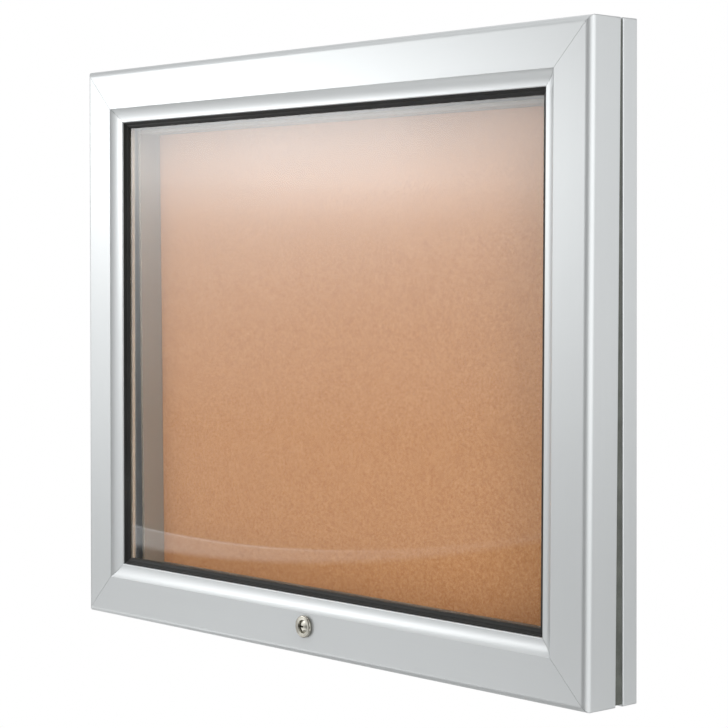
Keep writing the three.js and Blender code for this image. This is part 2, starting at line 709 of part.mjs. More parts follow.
function lockNutGeometry() {
  const from = DOOR_WALL + SEAT_GAP;
  const to = from + LOCK_NUT_THICKNESS;
  const hexagon = drill(0, 0, LOCK_BARREL_RADIUS + LOCK_NUT_RIM, from, to, NUT_SIDES);
  return cut(hexagon, barrelGeometry(SEAT_GAP, from - CUT_OVERRUN, to + CUT_OVERRUN));
}

// Cam: a flat bar with round ends and a square hole for the plug's tail, here pointing to +X
function lockCamGeometry() {
  const half = CAM_WIDTH / 2;
  const tip = CAM_LENGTH - half;
  const halfHole = TAIL_WIDTH / 2 + SEAT_GAP;
  const shape = new THREE.Shape();
  shape.absarc(0, 0, half, Math.PI / 2, -Math.PI / 2, false);
  shape.absarc(tip, 0, half, -Math.PI / 2, Math.PI / 2, false);
  shape.closePath();
  shape.holes.push(
    outline([-halfHole, -halfHole], [halfHole, -halfHole], [halfHole, halfHole], [-halfHole, halfHole]),
  );
  return extrudeBack(shape, CAM_FRONT, CAM_FRONT + CAM_THICKNESS, CAM_ARC_STEPS);
}

function camScrewGeometry() {
  const seat = CAM_FRONT + CAM_THICKNESS + SEAT_GAP;
  const end = seat - CAM_SCREW_DEPTH;
  const points = [
    [0, end],
    [CAM_SCREW_SHANK_RADIUS, end],
    [CAM_SCREW_SHANK_RADIUS, seat],
    [CAM_SCREW_RADIUS, seat],
    [CAM_SCREW_RADIUS, seat + CAM_SCREW_HEAD / 2],
    [CAM_SCREW_RADIUS - CAM_SCREW_HEAD / 2, seat + CAM_SCREW_HEAD],
    [0, seat + CAM_SCREW_HEAD],
  ];
  return lathe(points, SCREW_SIDES);
}

// Keeper: a bracket on the case's web with a lip in front of the locked cam
function keeperGeometry() {
  const rear = WEB_FRONT - SEAT_GAP;
  const thickness = KEEPER_THICKNESS;
  const profile = outline(
    [rear, KEEPER_INSET - KEEPER_BASE],
    [rear, KEEPER_INSET],
    [KEEPER_FRONT, KEEPER_INSET],
    [KEEPER_FRONT, KEEPER_INSET - KEEPER_LIP],
    [KEEPER_FRONT + thickness, KEEPER_INSET - KEEPER_LIP],
    [KEEPER_FRONT + thickness, KEEPER_INSET - thickness],
    [rear - thickness, KEEPER_INSET - thickness],
    [rear - thickness, KEEPER_INSET - KEEPER_BASE],
  );
  const bracket = extrudeProfile(profile, STRAIGHT, () => KEEPER_WIDTH / 2);
  return cut(bracket, ...keeperScrewHoles(rear - thickness - CUT_OVERRUN, rear + CUT_OVERRUN));
}

function keeperScrewHoles(depthFrom, depthTo) {
  const radius = KEEPER_SCREW_RADIUS + SEAT_GAP;
  return [-1, 1].map((sign) => (
    drill(sign * KEEPER_SCREW_SPREAD / 2, KEEPER_SCREW_INSET, radius, depthFrom, depthTo, SCREW_SIDES)
  ));
}

function keeperScrewGeometry() {
  const seat = WEB_FRONT - KEEPER_THICKNESS - 2 * SEAT_GAP;
  const top = seat - KEEPER_SCREW_HEAD;
  const edge = KEEPER_SCREW_HEAD / 2;
  const points = [
    [0, top],
    [KEEPER_SCREW_HEAD_RADIUS - edge, top],
    [KEEPER_SCREW_HEAD_RADIUS, top + edge],
    [KEEPER_SCREW_HEAD_RADIUS, seat],
    [KEEPER_SCREW_RADIUS, seat],
    [KEEPER_SCREW_RADIUS, TOTAL_DEPTH - SEAT_GAP],
    [0, TOTAL_DEPTH - SEAT_GAP],
  ];
  return lathe(points, SCREW_SIDES);
}

function wallHoles() {
  const inset = (CASE_BOX_WIDTH + STEP_INSET) / 2;
  const reach = BOARD_WIDTH / 2 - WALL_HOLE_END_INSET;
  const from = WEB_FRONT - CUT_OVERRUN;
  const to = TOTAL_DEPTH + CUT_OVERRUN;
  return [-1, 1].map((sign) => (
    drill(sign * reach, inset, WALL_HOLE_RADIUS, from, to, WALL_HOLE_SIDES)
  ));
}

// The case with everything that stays on the wall
function makeCase() {
  const group = new THREE.Group();
  const screwHoles = keeperScrewHoles(WEB_FRONT - CUT_OVERRUN, TOTAL_DEPTH + CUT_OVERRUN);
  const cutters = {
    top: [hingeGroove(), ...wallHoles()],
    bottom: [...wallHoles(), ...screwHoles],
  };
  const names = namesFor('case_rail', 'case_stile');
  addOuterFrame(group, names, caseProfile(), CASE_ARC_STEPS, caseAluminium, cutters);
  const cleatFrom = CASE_FRONT + CASE_WALL + CLEAT_SIDE_ROOM;
  addCleats(group, 'case_cleat', CASE_CLEAT_ARM, CASE_WALL, cleatFrom, WEB_FRONT - CLEAT_SIDE_ROOM);
  addFrame(group, namesFor('rim', 'rim'), rimProfile(), RIM_ARC_STEPS, rimAluminium, DISPLAY_SIDES);
  const corkSheet = sheet(DISPLAY_SIDES, BOARD_INSET, CORK_REAR - CORK_THICKNESS, CORK_REAR);
  group.add(meshOf('pin_board_cork', corkSheet, cork()));
  const coreSheet = sheet(DISPLAY_SIDES, BOARD_INSET, CORE_REAR - CORE_THICKNESS, CORE_REAR);
  group.add(meshOf('pin_board_core', coreSheet, softBoard()));
  const panelSheet = sheet(SIDES, PANEL_INSET, TOTAL_DEPTH - BACK_PANEL_THICKNESS, TOTAL_DEPTH);
  group.add(meshOf('back_panel', panelSheet, galvanisedSheet()));
  addSeals(group);
  const leafFront = CASE_FRONT - SEAT_GAP - LEAF_THICKNESS;
  const leaf = meshOf('hinge_leaf_case', hingeLeafGeometry(leafFront, 0), stainlessSteel());
  const pinRod = rodAlong(HINGE_LENGTH, HINGE_PIN_RADIUS, HINGE_AXIS_DEPTH, HINGE_DROP, HINGE_SIDES);
  const pin = meshOf('hinge_pin', pinRod, stainlessSteel());
  group.add(placeOnSide(leaf, SIDES.top), placeOnSide(pin, SIDES.top));
  const keeper = meshOf('lock_keeper', keeperGeometry(), stainlessSteel());
  group.add(placeOnSide(keeper, SIDES.bottom));
  for (const [name, sign] of [['keeper_screw_left', -1], ['keeper_screw_right', 1]]) {
    const screw = meshOf(name, keeperScrewGeometry(), stainlessSteel());
    screw.position.set(sign * KEEPER_SCREW_SPREAD / 2, 0, KEEPER_SCREW_INSET - BOARD_HEIGHT / 2);
    group.add(screw);
  }
  return group;
}

// The lock: its body and nut stay in the door, and the plug turns with the cam
function makeLock() {
  const group = new THREE.Group();
  group.position.z = LOCK_INSET - BOARD_HEIGHT / 2;
  group.add(meshOf('lock_body', lockBodyGeometry(), chrome()));
  group.add(meshOf('lock_nut', lockNutGeometry(), stainlessSteel()));
  const turning = new THREE.Group();
  turning.add(meshOf('lock_plug', lockPlugGeometry(), chrome()));
  turning.add(meshOf('lock_cam', lockCamGeometry(), stainlessSteel()));
  turning.add(meshOf('lock_cam_screw', camScrewGeometry(), stainlessSteel()));
  group.add(turning);
  return group;
}

// The door, drawn closed and parallel to the case
function makeDoor() {
  const group = new THREE.Group();
  const lockPlace = (geometry) => geometry.translate(0, 0, LOCK_INSET);
  const barrelHole = barrelGeometry(SEAT_GAP, -CUT_OVERRUN, DOOR_WALL + CUT_OVERRUN);
  const accessRadius = LOCK_BARREL_RADIUS + LOCK_NUT_RIM + LOCK_ACCESS_ROOM;
  const accessFrom = DOOR_DEPTH - DOOR_WALL - CUT_OVERRUN;
  const accessTo = DOOR_DEPTH + CUT_OVERRUN;
  const accessHole = drill(0, 0, accessRadius, accessFrom, accessTo, BARREL_SIDES);
  const cutters = {
    top: [hingeGroove()],
    bottom: [lockPlace(barrelHole), lockPlace(accessHole)],
  };
  const names = namesFor('door_rail', 'door_stile');
  addOuterFrame(group, names, doorProfile(), DOOR_ARC_STEPS, silverAluminium, cutters);
  const cleatFrom = FACE_ROUNDING + CLEAT_SIDE_ROOM;
  const cleatTo = DOOR_DEPTH - DOOR_WALL - CLEAT_SIDE_ROOM;
  addCleats(group, 'door_cleat', DOOR_CLEAT_ARM, DOOR_WALL, cleatFrom, cleatTo);
  addFrame(group, namesFor('gasket', 'gasket'), gasketProfile(), STRAIGHT, blackRubber);
  const glassSheet = sheet(SIDES, REBATE_INSET + GLASS_EDGE_ROOM, GLASS_FRONT, GLASS_REAR);
  group.add(meshOf('glazing', glassSheet, clearAcrylic()));
  const beadNames = namesFor('glazing_bead', 'glazing_bead');
  addFrame(group, beadNames, beadProfile(), STRAIGHT, beadAluminium);
  const leafGeometry = hingeLeafGeometry(DOOR_DEPTH + SEAT_GAP, 1);
  group.add(placeOnSide(meshOf('hinge_leaf_door', leafGeometry, stainlessSteel()), SIDES.top));
  group.add(makeLock());
  return group;
}

// Hangs the door on its hinge axis and turns it to where it rests on the seals
function hangDoor(door) {
  const pivot = new THREE.Group();
  pivot.position.set(0, HINGE_AXIS_DEPTH, HINGE_AXIS_HEIGHT);
  pivot.rotation.x = -DOOR_AJAR;
  door.position.set(0, -HINGE_AXIS_DEPTH, -HINGE_AXIS_HEIGHT);
  pivot.add(door);
  return pivot;
}

const board = new THREE.Group();
board.position.y = -TOTAL_DEPTH;
board.add(makeCase(), hangDoor(makeDoor()));

export default board;
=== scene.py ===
# Looks for the lockable notice board: materials, finished forms, studio light and camera.
# Metres, in the frame of the CAD model: X right, Y from the front to the wall, Z up.
import json
import math

import bmesh
import bpy
from mathutils import Matrix, Vector


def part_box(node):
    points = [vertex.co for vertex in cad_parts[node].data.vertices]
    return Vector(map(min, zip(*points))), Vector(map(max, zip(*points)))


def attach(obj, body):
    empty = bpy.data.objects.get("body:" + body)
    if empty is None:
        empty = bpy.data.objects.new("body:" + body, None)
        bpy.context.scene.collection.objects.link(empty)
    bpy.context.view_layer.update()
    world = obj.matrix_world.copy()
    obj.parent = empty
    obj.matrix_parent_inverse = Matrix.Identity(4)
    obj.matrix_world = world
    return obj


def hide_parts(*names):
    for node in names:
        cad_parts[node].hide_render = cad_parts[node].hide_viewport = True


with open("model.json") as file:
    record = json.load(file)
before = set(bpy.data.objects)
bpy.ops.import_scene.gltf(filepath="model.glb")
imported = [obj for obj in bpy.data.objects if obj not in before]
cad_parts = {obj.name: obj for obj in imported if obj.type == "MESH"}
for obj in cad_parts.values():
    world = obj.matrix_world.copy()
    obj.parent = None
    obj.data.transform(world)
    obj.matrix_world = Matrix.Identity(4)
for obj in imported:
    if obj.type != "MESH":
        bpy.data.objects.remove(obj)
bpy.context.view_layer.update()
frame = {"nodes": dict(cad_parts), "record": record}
NODES = frame["nodes"]
BODIES = frame["record"]["behaviour"]["bodies"]
BODY_OF = {node: body for body, nodes in BODIES.items() for node in nodes}

MM = 0.001
WHITE = (1.0, 1.0, 1.0, 1.0)


# Shader nodes

# Where Blender's mix node keeps its colour sockets
MIX_FACTOR, MIX_A, MIX_B, MIX_RESULT = 0, 6, 7, 2


def linear(hex_colour):
    """An sRGB colour as Blender's linear values with alpha 1."""
    channels = []
    for shift in (16, 8, 0):
        c = ((hex_colour >> shift) & 255) / 255
        channels.append(c / 12.92 if c <= 0.04045 else ((c + 0.055) / 1.055) ** 2.4)
    return (*channels, 1.0)


def shade(hex_colour, factor, lift=0.0):
    """A darker or paler tone of a colour."""
    return (*(min(1.0, c * factor + lift) for c in linear(hex_colour)[:3]), 1.0)


class Shader:
    """The nodes of a material or world, with short calls for the kinds used here."""

    def __init__(self, block, output):
        block.use_nodes = True
        self.block = block
        self.tree = block.node_tree
        self.tree.nodes.clear()
        self.output = self.add(output)

    def add(self, kind, inputs=None, **settings):
        """A new node. Inputs maps a socket's name or number to a value or another node's socket."""
        node = self.tree.nodes.new(kind)
        for key, value in settings.items():
            setattr(node, key, value)
        for key, value in (inputs or {}).items():
            if isinstance(value, bpy.types.NodeSocket):
                self.tree.links.new(value, node.inputs[key])
            else:
                node.inputs[key].default_value = value
        return node

    def show(self, shader):
        self.tree.links.new(shader, self.output.inputs["Surface"])

    def show_mix(self, factor, first, second):
        mix = self.add("ShaderNodeMixShader", {0: factor, 1: first, 2: second})
        self.show(mix.outputs["Shader"])

    def principled(self, **sockets):
        """The usual surface. Base_Color, for one, stands for the socket Base Color."""
        inputs = {key.replace("_", " "): value for key, value in sockets.items()}
        surface = self.add("ShaderNodeBsdfPrincipled", inputs).outputs["BSDF"]
        self.show(surface)
        return surface

    def glow(self, strength):
        """White light that isn't sampled as a lamp."""
        self.block.cycles.emission_sampling = "NONE"
        return self.add("ShaderNodeEmission", {"Strength": strength}).outputs["Emission"]

    def place(self, scale=(1, 1, 1), rotation=(0, 0, 0)):
        """The object's own coordinates, scaled and turned."""
        coordinates = self.add("ShaderNodeTexCoord").outputs["Object"]
        inputs = {"Vector": coordinates, "Scale": scale, "Rotation": rotation}
        return self.add("ShaderNodeMapping", inputs).outputs["Vector"]

    def axes(self):
        """The object's own X, Y and Z."""
        return self.add("ShaderNodeSeparateXYZ", {"Vector": self.place()}).outputs

    def noise(self, vector, scale, detail=2.0, roughness=0.5):
        inputs = {"Vector": vector, "Scale": scale, "Detail": detail, "Roughness": roughness}
        return self.add("ShaderNodeTexNoise", inputs).outputs["Fac"]

    def voronoi(self, vector, scale):
        return self.add("ShaderNodeTexVoronoi", {"Vector": vector, "Scale": scale}).outputs

    def cells(self, vector, scale):
        """Cells that each have a grey of their own."""
        colours = self.voronoi(vector, scale)["Color"]
        return self.add("ShaderNodeSeparateColor", {"Color": colours}).outputs["Red"]

    def ramp(self, value, *stops):
        """Colours along a value; each stop is (place, sRGB colour)."""
        node = self.add("ShaderNodeValToRGB", {"Fac": value})
        elements = node.color_ramp.elements
        while len(elements) < len(stops):
            elements.new(0.5)
        for element, (place, colour) in zip(elements, stops):
            element.position = place
            element.color = linear(colour)
        return node.outputs["Color"]

    def curve(self, value, points):
        """A number along a value, by a curve through points of (value, number)."""
        low, high = points[0][0], points[-1][0]
        top = max(number for _, number in points)
        node = self.add("ShaderNodeFloatCurve", {"Value": self.span(value, (low, high))})
        drawn = node.mapping.curves[0].points
        while len(drawn) < len(points):
            drawn.new(0.5, 0.5)
        for point, (where, number) in zip(drawn, points):
            point.location = ((where - low) / (high - low), number / top)
            point.handle_type = "AUTO_CLAMPED"
        node.mapping.update()
        return self.maths("MULTIPLY", node.outputs["Value"], top)

    def span(self, value, source, target=(0.0, 1.0), interpolation="LINEAR"):
        """Carries a value from one range to another, and no further than its ends."""
        inputs = {"Value": value, "From Min": source[0], "From Max": source[1]}
        inputs |= {"To Min": target[0], "To Max": target[1]}
        node = self.add("ShaderNodeMapRange", inputs, interpolation_type=interpolation)
        return node.outputs["Result"]

    def maths(self, operation, *terms):
        node = self.add("ShaderNodeMath", dict(enumerate(terms)), operation=operation)
        return node.outputs["Value"]

    def weighed(self, a, b, share):
        """A share of a, and b for the rest."""
        return self.maths(
            "ADD", self.maths("MULTIPLY", a, share), self.maths("MULTIPLY", b, 1 - share)
        )

    def blend(self, factor, a, b):
        inputs = {MIX_FACTOR: factor, MIX_A: a, MIX_B: b}
        return self.add("ShaderNodeMix", inputs, data_type="RGBA").outputs[MIX_RESULT]

    def bump(self, height, distance, strength):
        inputs = {"Height": height, "Distance": distance, "Strength": strength}
        return self.add("ShaderNodeBump", inputs).outputs["Normal"]

    def seen(self):
        """1 on rays that the camera sees, directly or in metal or glass, and 0 on the rest."""
        rays = self.add("ShaderNodeLightPath").outputs
        plain_or_mirrored = self.maths("MAXIMUM", rays["Is Camera Ray"], rays["Is Glossy Ray"])
        return self.maths("MAXIMUM", plain_or_mirrored, rays["Is Transmission Ray"])


def new_material(name):
    return Shader(bpy.data.materials.new(name), "ShaderNodeOutputMaterial")


# Materials; texture scales are in features a metre

# How deep the bumps of each texture are
DRAWN_RELIEF = 0.02 * MM
PEBBLE_RELIEF = 0.05 * MM
PORE_RELIEF = 0.25 * MM
SPECK_RELIEF = 0.12 * MM
FIBRE_RELIEF = 0.3 * MM
CASTING_RELIEF = 0.1 * MM
MARK_RELIEF = 0.05 * MM
WAVE_RELIEF = 1.0 * MM


def drawn_metal(name, colour, along, roughness, metallic, streak=0.02):
    """Satin metal with a cloudy skin and fine lines along X or Z, left by drawing."""
    lengthwise, crosswise = 6, 900
    tone_swing = 0.012
    s = new_material(name)
    drawn = (crosswise, crosswise, lengthwise)
    if along == "X":
        drawn = (lengthwise, crosswise, crosswise)
    lines = s.noise(s.place(drawn), scale=1.0, detail=3.0, roughness=0.6)
    cloud = s.noise(s.place(), scale=9.0, detail=3.0)
    tone = s.span(s.weighed(lines, cloud, share=0.5), (0.35, 0.65))
    s.principled(
        Base_Color=s.blend(tone, shade(colour, 1 - tone_swing), shade(colour, 1 + tone_swing)),
        Roughness=s.span(lines, (0.3, 0.7), (roughness - streak, roughness + streak)),
        Metallic=metallic,
        Normal=s.bump(lines, DRAWN_RELIEF, strength=0.03),
    )
    return s.block


def rubber(name, colour):
    """Extruded rubber: near black, with faint wear and a fine pebble."""
    s = new_material(name)
    pebble = s.noise(s.place(), scale=1400.0)
    worn = s.noise(s.place(), scale=22.0, detail=4.0)
    greyed = s.span(worn, (0.45, 0.75), (0.0, 0.6))
    s.principled(
        Base_Color=s.blend(greyed, linear(colour), shade(colour, 1.9, lift=0.004)),
        Roughness=s.span(worn, (0.3, 0.7), (0.42, 0.62)),
        Specular_IOR_Level=0.25,
        Normal=s.bump(pebble, PEBBLE_RELIEF, strength=0.25),
    )
    return s.block


def foam(name, colour):
    """Closed-cell foam strip: small open pores in a dull skin, with painted shade in the pores."""
    s = new_material(name)
    pores = s.voronoi(s.place(), scale=900.0)["Distance"]
    soft = s.noise(s.place(), scale=60.0, detail=3.0)
    skin = s.blend(s.span(soft, (0.3, 0.7)), linear(colour), shade(colour, 1.5, lift=0.005))
    # Painted shade: the pores are darkened in colour, where shade would fall in them
    painted_pore_shade = s.span(pores, (0.0, 0.35), (1.0, 0.0))
    s.principled(
        Base_Color=s.blend(painted_pore_shade, skin, shade(colour, 0.45)),
        Roughness=0.85,
        Specular_IOR_Level=0.25,
        Normal=s.bump(pores, PORE_RELIEF, strength=0.5),
    )
    return s.block


def cork_face(name):
    """Pressed cork: small grains in several tones, dark and pale specks, faint clouding."""
    s = new_material(name)
    place = s.place()
    grains = s.noise(place, scale=340.0, detail=4.0, roughness=0.8)
    tone = s.weighed(s.cells(place, scale=450.0), grains, share=0.35)
    colour = s.ramp(tone, (0.22, 0xAA7146), (0.45, 0xB57E52), (0.55, 0xB98356), (0.78, 0xC49167))
    dark = s.noise(s.place(rotation=(0.3, 0.5, 0.1)), scale=370.0, detail=3.0, roughness=0.7)
    colour = s.blend(s.span(dark, (0.6, 0.7), (0.0, 0.32)), colour, linear(0x84532F))
    pale = s.noise(s.place(rotation=(0.7, 0.3, 0.2)), scale=340.0, detail=3.0, roughness=0.7)
    colour = s.blend(s.span(pale, (0.6, 0.7), (0.0, 0.28)), colour, linear(0xDDB48A))
    cloud = s.noise(place, scale=45.0, detail=5.0, roughness=0.7)
    colour = s.blend(s.span(cloud, (0.35, 0.65), (0.0, 0.22)), colour, linear(0xC18D63))
    s.principled(
        Base_Color=colour,
        Roughness=0.88,
        Specular_IOR_Level=0.2,
        Normal=s.bump(dark, SPECK_RELIEF, strength=0.2),
    )
    return s.block


def fibre_board(name):
    """Soft board of pressed wood fibres."""
    s = new_material(name)
    fibres = s.noise(s.place(scale=(1, 1, 3)), scale=260.0, detail=4.0, roughness=0.7)
    s.principled(
        Base_Color=s.ramp(fibres, (0.3, 0x836A50), (0.5, 0x9A7F62), (0.7, 0xB39A7D)),
        Roughness=0.92,
        Specular_IOR_Level=0.15,
        Normal=s.bump(fibres, FIBRE_RELIEF, strength=0.5),
    )
    return s.block


def galvanised(name):
    """Zinc-coated sheet: dull metal with a faint crystal pattern."""
    s = new_material(name)
    place = s.place(scale=(1, 1, 1.3))
    dull = s.noise(place, scale=30.0, detail=3.0)
    tone = s.weighed(s.cells(place, scale=75.0), dull, share=0.6)
    s.principled(
        Base_Color=s.ramp(tone, (0.2, 0x979C9D), (0.5, 0xA9ADAD), (0.8, 0xB9BDBD)),
        Roughness=s.span(tone, (0.2, 0.8), (0.4, 0.58)),
        Metallic=0.85,
    )
    return s.block


def cast_metal(name):
    """Rough die casting."""
    s = new_material(name)
    grain = s.noise(s.place(), scale=700.0, detail=3.0)
    s.principled(
        Base_Color=s.ramp(grain, (0.3, 0x8F9293), (0.7, 0xACAFB0)),
        Roughness=0.6,
        Metallic=0.8,
        Normal=s.bump(grain, CASTING_RELIEF, strength=0.4),
    )
    return s.block


def chrome_plate(name):
    """Bright plating with a warm tint and light handling marks."""
    s = new_material(name)
    marks = s.noise(s.place(), scale=160.0, detail=5.0, roughness=0.7)
    s.principled(
        Base_Color=s.ramp(marks, (0.3, 0xBFBDB4), (0.7, 0xA3A096)),
        Roughness=s.span(marks, (0.35, 0.75), (0.03, 0.11)),
        Metallic=1.0,
        Normal=s.bump(marks, MARK_RELIEF, strength=0.3),
    )
    return s.block


# Painted reflection in the sheet's coat: its shine fades downwards, and low down a pale band lies
# between two arches, with a line on it
BAND_TOP = {"middle": -0.19, "low": -0.2185, "rise": 0.2}
BAND_FOOT = {"middle": -0.27, "low": -0.239, "rise": 0.19}
BAND_TOP_BLUR = (-1.5 * MM, 1.5 * MM)
BAND_FOOT_BLUR = (-4 * MM, 3 * MM)
BAND_ACROSS = (-0.33, 0.3)
LINE_ACROSS = (-0.1, 0.12)
LINE_DROP = 1.5 * MM
LINE_BLUR = 1.6 * MM
SHINE_HEIGHTS = (-0.17, 0.22)
LEAST_SHINE = 0.18


def arch(s, across, middle, low, rise):
    """A height that rises on both sides of a middle, as a parabola."""
    away = s.maths("SUBTRACT", across, middle)
    return s.maths("ADD", s.maths("MULTIPLY", s.maths("MULTIPLY", away, away), rise), low)


def painted_reflection_shine(s, across, height):
    """Painted reflection: how much the sheet's coat shines, by place: less downwards, with the pale
    band and a fine line along it.
    """
    top = arch(s, across, **BAND_TOP)
    foot = arch(s, across, **BAND_FOOT)
    over_top = s.span(s.maths("SUBTRACT", height, top), BAND_TOP_BLUR)
    over_foot = s.span(s.maths("SUBTRACT", height, foot), BAND_FOOT_BLUR)
    above = s.maths("MAXIMUM", s.span(height, SHINE_HEIGHTS, (0.0, 0.83)), LEAST_SHINE)
    band = s.maths("MULTIPLY", over_foot, s.span(across, BAND_ACROSS, (0.72, 0.28)))
    line_height = s.maths("SUBTRACT", top, LINE_DROP)
    off_line = s.maths("ABSOLUTE", s.maths("SUBTRACT", height, line_height))
    on_line = s.span(off_line, (0.0, LINE_BLUR), (1.0, 0.0))
    line = s.maths("MULTIPLY", on_line, s.span(across, LINE_ACROSS, (0.5, 0.0)))
    more_above = s.maths("MULTIPLY", over_top, s.maths("SUBTRACT", above, band))
    return s.maths("ADD", s.maths("ADD", more_above, band), line)


def acrylic(name):
    """Clear hard-coated sheet, a little warped, which lets lamplight through, with a painted
    reflection in its coat.
    """
    s = new_material(name)
    axes = s.axes()
    waves = s.noise(s.place(), scale=5.0, detail=1.0)
    sheet = s.principled(
        Base_Color=linear(0xFAFCFC),
        Roughness=0.01,
        IOR=1.12,
        Transmission_Weight=1.0,
        # Painted reflection: the coat's weight, and so its shine, is laid on by place
        Coat_Weight=painted_reflection_shine(s, axes["X"], axes["Z"]),
        Coat_IOR=1.8,
        Coat_Roughness=0.01,
        Normal=s.bump(waves, WAVE_RELIEF, strength=0.04),
    )
    shadow_ray = s.add("ShaderNodeLightPath").outputs["Is Shadow Ray"]
    tint = {"Color": (0.94, 0.95, 0.95, 1.0)}
    s.show_mix(shadow_ray, sheet, s.add("ShaderNodeBsdfTransparent", tint).outputs["BSDF"])
    return s.block


FRAME_X = drawn_metal("anodised_rail", 0xC9CCCD, "X", roughness=0.38, metallic=0.62)
FRAME_Z = drawn_metal("anodised_stile", 0xC9CCCD, "Z", roughness=0.38, metallic=0.62)
# Painted shade and light: the rim's metal is darkened to a warm grey, and its stiles are browner
# than its rails, as if lit by the cork
RIM_X_PAINTED_SHADE = drawn_metal("rim_rail_painted_shade", 0x857B71, "X", roughness=0.6, metallic=0.3)
RIM_Z_PAINTED_SHADE = drawn_metal("rim_stile_painted_shade", 0x85786A, "Z", roughness=0.6, metallic=0.3)
# Painted shade and light: the bead's rails are darkened to near black, and its stiles are a pale
# beige, as if lit by the cork
BEAD_X_PAINTED_SHADE = drawn_metal("bead_rail_painted_shade", 0x4A4641, "X", roughness=0.6, metallic=0.2)
BEAD_Z_PAINTED_LIGHT = drawn_metal("bead_stile_painted_cork_light", 0xB4A594, "Z", roughness=0.55, metallic=0.2)
STEEL_X = drawn_metal("stainless", 0xB4B5B4, "X", roughness=0.3, metallic=0.95, streak=0.08)
GASKET = rubber("gasket_rubber", 0x1E1E1D)
SEAL = foam("seal_foam", 0x4E504C)
CORK = cork_face("cork_face")
CORE = fibre_board("core_board")
PANEL = galvanised("zinc_sheet")
CLEAT = cast_metal("cleat_casting")
CHROME = chrome_plate("chrome_plate")
CLEAR = acrylic("clear_sheet")


# Forms

MERGE_DISTANCE = 0.004 * MM
FLAT_DEGREES = 0.3
SHARP_DEGREES = 28
SMOOTH_DEGREES = 25
SOFT_SMOOTH_DEGREES = 35

# How far sharp edges are broken
DOOR_EDGE = 0.15 * MM
CASE_EDGE = 0.2 * MM
RIM_EDGE = 0.15 * MM
BEAD_EDGE = 0.15 * MM
GASKET_EDGE = 0.15 * MM
SEAL_EDGE = 0.3 * MM
CLEAT_EDGE = 0.5 * MM
GLAZING_EDGE = 0.3 * MM
CORK_EDGE = 0.4 * MM
CORE_EDGE = 0.3 * MM
PANEL_EDGE = 0.2 * MM
STEEL_EDGE = 0.2 * MM
LOCK_EDGE = 0.12 * MM

PLUG_RADIUS = 7.2 * MM
PLUG_CROWN_DROP = 1.4 * MM
PLUG_CROWN_DEPTH = 4 * MM


def finished(node, material, bevel=0.0, smooth_degrees=SMOOTH_DEGREES):
    """A copy of a CAD node in its place: flats joined, sharp edges broken and curves smooth."""
    mesh = bpy.data.meshes.new(f"{node}_form")
    bm = bmesh.new()
    bm.from_mesh(NODES[node].data)
    bmesh.ops.remove_doubles(bm, verts=bm.verts, dist=MERGE_DISTANCE)
    flat = math.radians(FLAT_DEGREES)
    bmesh.ops.dissolve_limit(bm, angle_limit=flat, verts=bm.verts, edges=bm.edges)
    if bevel:
        sharp = [
            e
            for e in bm.edges
            if len(e.link_faces) == 2 and e.calc_face_angle(0.0) > math.radians(SHARP_DEGREES)
        ]
        bmesh.ops.bevel(
            bm,
            geom=sharp,
            offset=bevel,
            offset_type="OFFSET",
            segments=2,
            profile=0.5,
            affect="EDGES",
            clamp_overlap=True,
        )
    bmesh.ops.recalc_face_normals(bm, faces=bm.faces)
    bm.to_mesh(mesh)
    bm.free()
    mesh.materials.append(material)
    mesh.polygons.foreach_set("use_smooth", [True] * len(mesh.polygons))
    mesh.set_sharp_from_angle(angle=math.radians(smooth_degrees))
    piece = bpy.data.objects.new(f"{node}_finished", mesh)
    bpy.context.scene.collection.objects.link(piece)
    even = piece.modifiers.new("even_normals", "WEIGHTED_NORMAL")
    even.keep_sharp = True
    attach(piece, BODY_OF[node])
    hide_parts(node)
    return piece


def crown(piece, node, radius, drop, depth):
    """Domes a round face: draws it back by drop at its radius, and less down to a depth."""
    low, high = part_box(node)
    middle = (low + high) / 2
    for v in piece.data.vertices:
        out = math.hypot(v.co.x - middle.x, v.co.z - middle.z) / radius
        near = max(0.0, 1 - (v.co.y - low.y) / depth)
        v.co.y += drop * min(1.0, out) ** 2 * near


for side in ("top", "bottom", "left", "right"):
    level = side in ("top", "bottom")
    part = "rail" if level else "stile"
    frame_metal = FRAME_X if level else FRAME_Z
    finished(f"door_{part}_{side}", frame_metal, DOOR_EDGE)
    finished(f"case_{part}_{side}", frame_metal, CASE_EDGE)
    finished(f"rim_{side}", RIM_X_PAINTED_SHADE if level else RIM_Z_PAINTED_SHADE, RIM_EDGE)
    finished(f"glazing_bead_{side}", BEAD_X_PAINTED_SHADE if level else BEAD_Z_PAINTED_LIGHT, BEAD_EDGE)
    finished(f"gasket_{side}", GASKET, GASKET_EDGE, SOFT_SMOOTH_DEGREES)
    finished(f"seal_{side}", SEAL, SEAL_EDGE, SOFT_SMOOTH_DEGREES)
for node in NODES:
    if "cleat" in node:
        finished(node, CLEAT, CLEAT_EDGE)
finished("glazing", CLEAR, GLAZING_EDGE)
finished("pin_board_cork", CORK, CORK_EDGE)
finished("pin_board_core", CORE, CORE_EDGE)
finished("back_panel", PANEL, PANEL_EDGE)
for node in ("hinge_leaf_case", "hinge_leaf_door", "hinge_pin"):
    finished(node, STEEL_X)
for node in ("lock_keeper", "lock_cam", "lock_nut"):
    finished(node, STEEL_X, STEEL_EDGE)
for node in ("keeper_screw_left", "keeper_screw_right", "lock_cam_screw"):
    finished(node, STEEL_X)
finished("lock_body", CHROME, LOCK_EDGE)
plug = finished("lock_plug", CHROME, LOCK_EDGE)
crown(plug, "lock_plug", PLUG_RADIUS, PLUG_CROWN_DROP, PLUG_CROWN_DEPTH)


# Camera, as fitted to the photograph's frame lines

